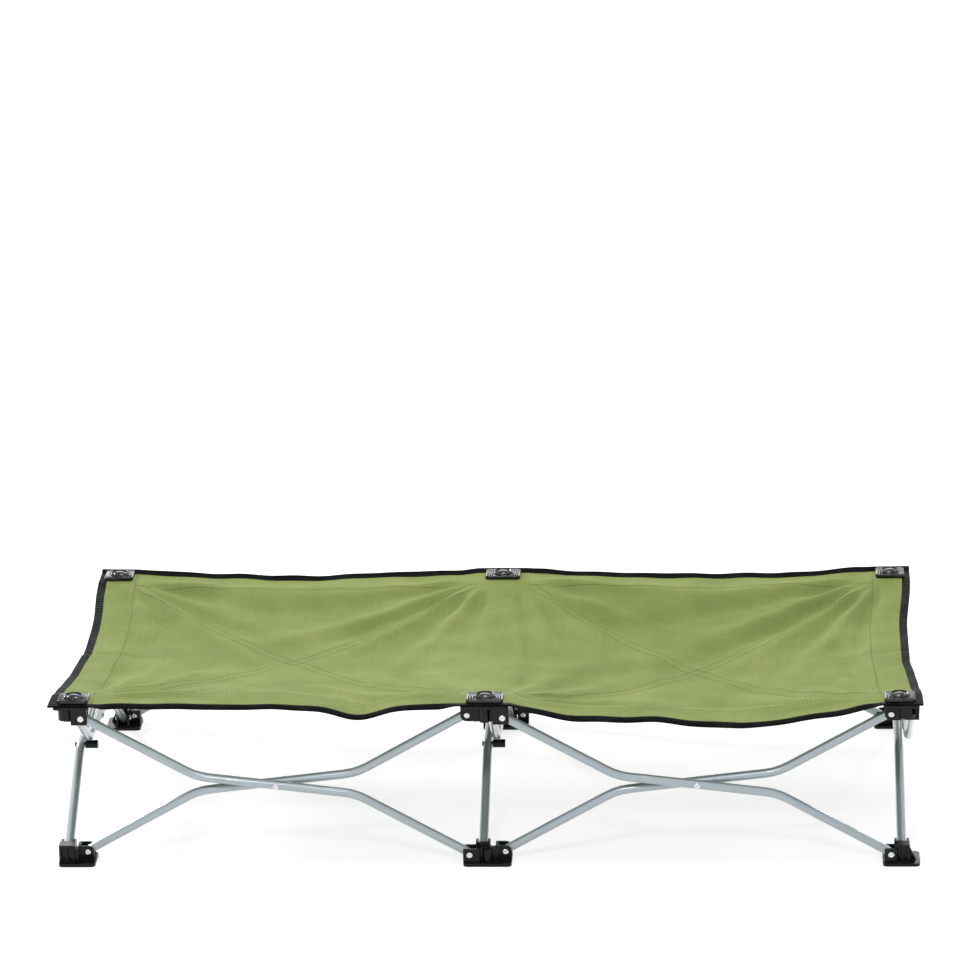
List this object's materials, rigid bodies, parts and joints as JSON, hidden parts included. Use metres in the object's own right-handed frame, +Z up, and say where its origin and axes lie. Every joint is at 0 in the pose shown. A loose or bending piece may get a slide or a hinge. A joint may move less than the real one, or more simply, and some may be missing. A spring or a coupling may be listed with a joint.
{
  "type": "raised dog bed",
  "caption": "Folding raised dog bed: a fabric sling clamped at its corners and mid sides to scissors of bent steel tube on plastic feet, folding in length and depth together.",
  "frame": {"origin": "on the floor, under the middle of the open cot", "axes": "+X along the length, to the right in the picture; +Y from the front to the back; +Z up"},
  "size_m": [1.194, 0.6, 0.2456],
  "materials": {
    "tube_paint": "satin silver-grey paint",
    "rivet_steel": "bright",
    "bracket_plastic": "satin black",
    "cap_plastic": "glossy black",
    "fabric": "plain green weave"
  },
  "bodies": {
    "foot_back_left": {"foot_back_left": "bracket_plastic", "rivet_back_left_outer_foot": "rivet_steel"},
    "foot_back_middle": {"foot_back_middle": "bracket_plastic", "rivet_back_left_inner_foot": "rivet_steel", "rivet_back_right_outer_foot": "rivet_steel"},
    "foot_back_right": {"foot_back_right": "bracket_plastic", "rivet_back_right_inner_foot": "rivet_steel"},
    "foot_front_left": {"foot_front_left": "bracket_plastic", "rivet_front_left_inner_foot": "rivet_steel"},
    "foot_front_middle": {"foot_front_middle": "bracket_plastic", "rivet_front_left_outer_foot": "rivet_steel", "rivet_front_right_inner_foot": "rivet_steel"},
    "foot_front_right": {"foot_front_right": "bracket_plastic", "rivet_front_right_outer_foot": "rivet_steel"},
    "top_bracket_back_left": {"top_bracket_back_left": "bracket_plastic", "clamp_cap_back_left": "cap_plastic", "rivet_back_left_inner_top": "rivet_steel"},
    "top_bracket_back_middle": {"top_bracket_back_middle": "bracket_plastic", "clamp_cap_back_middle": "cap_plastic", "rivet_back_left_outer_top": "rivet_steel", "rivet_back_right_inner_top": "rivet_steel"},
    "top_bracket_back_right": {"top_bracket_back_right": "bracket_plastic", "clamp_cap_back_right": "cap_plastic", "rivet_back_right_outer_top": "rivet_steel"},
    "top_bracket_front_left": {"top_bracket_front_left": "bracket_plastic", "clamp_cap_front_left": "cap_plastic", "rivet_front_left_outer_top": "rivet_steel"},
    "top_bracket_front_middle": {"top_bracket_front_middle": "bracket_plastic", "clamp_cap_front_middle": "cap_plastic", "fabric_sling": "fabric", "rivet_front_left_inner_top": "rivet_steel", "rivet_front_right_outer_top": "rivet_steel"},
    "top_bracket_front_right": {"top_bracket_front_right": "bracket_plastic", "clamp_cap_front_right": "cap_plastic", "rivet_front_right_inner_top": "rivet_steel"},
    "tube_back_left_inner": {"tube_back_left_inner": "tube_paint"},
    "tube_back_left_outer": {"tube_back_left_outer": "tube_paint", "rivet_back_left_centre": "rivet_steel"},
    "tube_back_right_inner": {"tube_back_right_inner": "tube_paint"},
    "tube_back_right_outer": {"tube_back_right_outer": "tube_paint", "rivet_back_right_centre": "rivet_steel"},
    "tube_end_left_inner": {"tube_end_left_inner": "tube_paint"},
    "tube_end_left_outer": {"tube_end_left_outer": "tube_paint", "rivet_end_left_centre": "rivet_steel", "stop_peg_end_left": "bracket_plastic"},
    "tube_end_right_inner": {"tube_end_right_inner": "tube_paint"},
    "tube_end_right_outer": {"tube_end_right_outer": "tube_paint", "rivet_end_right_centre": "rivet_steel", "stop_peg_end_right": "bracket_plastic"},
    "tube_front_left_inner": {"tube_front_left_inner": "tube_paint"},
    "tube_front_left_outer": {"tube_front_left_outer": "tube_paint", "rivet_front_left_centre": "rivet_steel"},
    "tube_front_right_inner": {"tube_front_right_inner": "tube_paint"},
    "tube_front_right_outer": {"tube_front_right_outer": "tube_paint", "rivet_front_right_centre": "rivet_steel"},
    "tube_middle_inner": {"tube_middle_inner": "tube_paint"},
    "tube_middle_outer": {"tube_middle_outer": "tube_paint", "rivet_middle_centre": "rivet_steel", "stop_peg_middle": "bracket_plastic"}
  },
  "joints": [
    {"name": "frame_fold", "type": "hinge", "parent": "foot_front_middle", "child": "tube_front_left_outer", "pos_m": [-0.0245, -0.2846, 0.015], "axis": [0, 1, 0], "range_deg": [0, 60], "deforming": ["fabric_sling"]},
    {"name": "top_bracket_front_left_pivot", "type": "hinge", "parent": "tube_front_left_outer", "child": "top_bracket_front_left", "pos_m": [-0.5565, -0.2846, 0.216], "axis": [0, -1, 0], "range_deg": [0, 60]},
    {"name": "tube_front_left_inner_pivot", "type": "hinge", "parent": "tube_front_left_outer", "child": "tube_front_left_inner", "pos_m": [-0.2905, -0.278, 0.1155], "axis": [0, -1, 0], "range_deg": [0, 120]},
    {"name": "foot_front_left_pivot", "type": "hinge", "parent": "tube_front_left_inner", "child": "foot_front_left", "pos_m": [-0.5565, -0.2714, 0.015], "axis": [0, 1, 0], "range_deg": [0, 60]},
    {"name": "top_bracket_front_middle_pivot", "type": "hinge", "parent": "tube_front_left_inner", "child": "top_bracket_front_middle", "pos_m": [-0.0245, -0.2714, 0.216], "axis": [0, 1, 0], "range_deg": [0, 60]},
    {"name": "tube_front_right_inner_pivot", "type": "hinge", "parent": "foot_front_middle", "child": "tube_front_right_inner", "pos_m": [0.0245, -0.2714, 0.015], "axis": [0, -1, 0], "range_deg": [0, 60]},
    {"name": "top_bracket_front_right_pivot", "type": "hinge", "parent": "tube_front_right_inner", "child": "top_bracket_front_right", "pos_m": [0.5565, -0.2714, 0.216], "axis": [0, 1, 0], "range_deg": [0, 60]},
    {"name": "tube_front_right_outer_pivot", "type": "hinge", "parent": "tube_front_right_inner", "child": "tube_front_right_outer", "pos_m": [0.2905, -0.278, 0.1155], "axis": [0, 1, 0], "range_deg": [0, 120]},
    {"name": "foot_front_right_pivot", "type": "hinge", "parent": "tube_front_right_outer", "child": "foot_front_right", "pos_m": [0.5565, -0.2846, 0.015], "axis": [0, -1, 0], "range_deg": [0, 60]},
    {"name": "tube_middle_outer_pivot", "type": "hinge", "parent": "foot_front_middle", "child": "tube_middle_outer", "pos_m": [-0.0066, -0.266, 0.015], "axis": [1, 0, 0], "range_deg": [0, 60]},
    {"name": "top_bracket_back_middle_pivot", "type": "hinge", "parent": "tube_middle_outer", "child": "top_bracket_back_middle", "pos_m": [-0.0066, 0.266, 0.216], "axis": [-1, 0, 0], "range_deg": [0, 60]},
    {"name": "tube_middle_inner_pivot", "type": "hinge", "parent": "tube_middle_outer", "child": "tube_middle_inner", "pos_m": [0, 0, 0.1155], "axis": [-1, 0, 0], "range_deg": [0, 120]},
    {"name": "foot_back_middle_pivot", "type": "hinge", "parent": "tube_middle_inner", "child": "foot_back_middle", "pos_m": [0.0066, 0.266, 0.015], "axis": [1, 0, 0], "range_deg": [0, 60]},
    {"name": "tube_back_left_inner_pivot", "type": "hinge", "parent": "foot_back_middle", "child": "tube_back_left_inner", "pos_m": [-0.0245, 0.2714, 0.015], "axis": [0, 1, 0], "range_deg": [0, 60]},
    {"name": "top_bracket_back_left_pivot", "type": "hinge", "parent": "tube_back_left_inner", "child": "top_bracket_back_left", "pos_m": [-0.5565, 0.2714, 0.216], "axis": [0, -1, 0], "range_deg": [0, 60]},
    {"name": "tube_back_left_outer_pivot", "type": "hinge", "parent": "tube_back_left_inner", "child": "tube_back_left_outer", "pos_m": [-0.2905, 0.278, 0.1155], "axis": [0, -1, 0], "range_deg": [0, 120]},
    {"name": "foot_back_left_pivot", "type": "hinge", "parent": "tube_back_left_outer", "child": "foot_back_left", "pos_m": [-0.5565, 0.2846, 0.015], "axis": [0, 1, 0], "range_deg": [0, 60]},
    {"name": "tube_back_right_outer_pivot", "type": "hinge", "parent": "foot_back_middle", "child": "tube_back_right_outer", "pos_m": [0.0245, 0.2846, 0.015], "axis": [0, -1, 0], "range_deg": [0, 60]},
    {"name": "top_bracket_back_right_pivot", "type": "hinge", "parent": "tube_back_right_outer", "child": "top_bracket_back_right", "pos_m": [0.5565, 0.2846, 0.216], "axis": [0, 1, 0], "range_deg": [0, 60]},
    {"name": "tube_back_right_inner_pivot", "type": "hinge", "parent": "tube_back_right_outer", "child": "tube_back_right_inner", "pos_m": [0.2905, 0.278, 0.1155], "axis": [0, 1, 0], "range_deg": [0, 120]},
    {"name": "foot_back_right_pivot", "type": "hinge", "parent": "tube_back_right_inner", "child": "foot_back_right", "pos_m": [0.5565, 0.2714, 0.015], "axis": [0, -1, 0], "range_deg": [0, 60]},
    {"name": "tube_end_left_outer_pivot", "type": "hinge", "parent": "foot_front_left", "child": "tube_end_left_outer", "pos_m": [-0.5846, -0.266, 0.015], "axis": [1, 0, 0], "range_deg": [0, 60]},
    {"name": "tube_end_left_inner_pivot", "type": "hinge", "parent": "tube_end_left_outer", "child": "tube_end_left_inner", "pos_m": [-0.578, 0, 0.1155], "axis": [-1, 0, 0], "range_deg": [0, 120]},
    {"name": "tube_end_right_inner_pivot", "type": "hinge", "parent": "foot_front_right", "child": "tube_end_right_inner", "pos_m": [0.5714, -0.266, 0.015], "axis": [1, 0, 0], "range_deg": [0, 60]},
    {"name": "tube_end_right_outer_pivot", "type": "hinge", "parent": "tube_end_right_inner", "child": "tube_end_right_outer", "pos_m": [0.578, 0, 0.1155], "axis": [-1, 0, 0], "range_deg": [0, 120]}
  ],
  "couplings": [
    {"joint": "top_bracket_front_left_pivot", "follows": "frame_fold", "ratio": 1},
    {"joint": "tube_front_left_inner_pivot", "follows": "frame_fold", "ratio": 2},
    {"joint": "foot_front_left_pivot", "follows": "frame_fold", "ratio": 1},
    {"joint": "top_bracket_front_middle_pivot", "follows": "frame_fold", "ratio": 1},
    {"joint": "tube_front_right_inner_pivot", "follows": "frame_fold", "ratio": 1},
    {"joint": "top_bracket_front_right_pivot", "follows": "frame_fold", "ratio": 1},
    {"joint": "tube_front_right_outer_pivot", "follows": "frame_fold", "ratio": 2},
    {"joint": "foot_front_right_pivot", "follows": "frame_fold", "ratio": 1},
    {"joint": "tube_middle_outer_pivot", "follows": "frame_fold", "ratio": 1},
    {"joint": "top_bracket_back_middle_pivot", "follows": "frame_fold", "ratio": 1},
    {"joint": "tube_middle_inner_pivot", "follows": "frame_fold", "ratio": 2},
    {"joint": "foot_back_middle_pivot", "follows": "frame_fold", "ratio": 1},
    {"joint": "tube_back_left_inner_pivot", "follows": "frame_fold", "ratio": 1},
    {"joint": "top_bracket_back_left_pivot", "follows": "frame_fold", "ratio": 1},
    {"joint": "tube_back_left_outer_pivot", "follows": "frame_fold", "ratio": 2},
    {"joint": "foot_back_left_pivot", "follows": "frame_fold", "ratio": 1},
    {"joint": "tube_back_right_outer_pivot", "follows": "frame_fold", "ratio": 1},
    {"joint": "top_bracket_back_right_pivot", "follows": "frame_fold", "ratio": 1},
    {"joint": "tube_back_right_inner_pivot", "follows": "frame_fold", "ratio": 2},
    {"joint": "foot_back_right_pivot", "follows": "frame_fold", "ratio": 1},
    {"joint": "tube_end_left_outer_pivot", "follows": "frame_fold", "ratio": 1},
    {"joint": "tube_end_left_inner_pivot", "follows": "frame_fold", "ratio": 2},
    {"joint": "tube_end_right_inner_pivot", "follows": "frame_fold", "ratio": 1},
    {"joint": "tube_end_right_outer_pivot", "follows": "frame_fold", "ratio": 2}
  ]
}
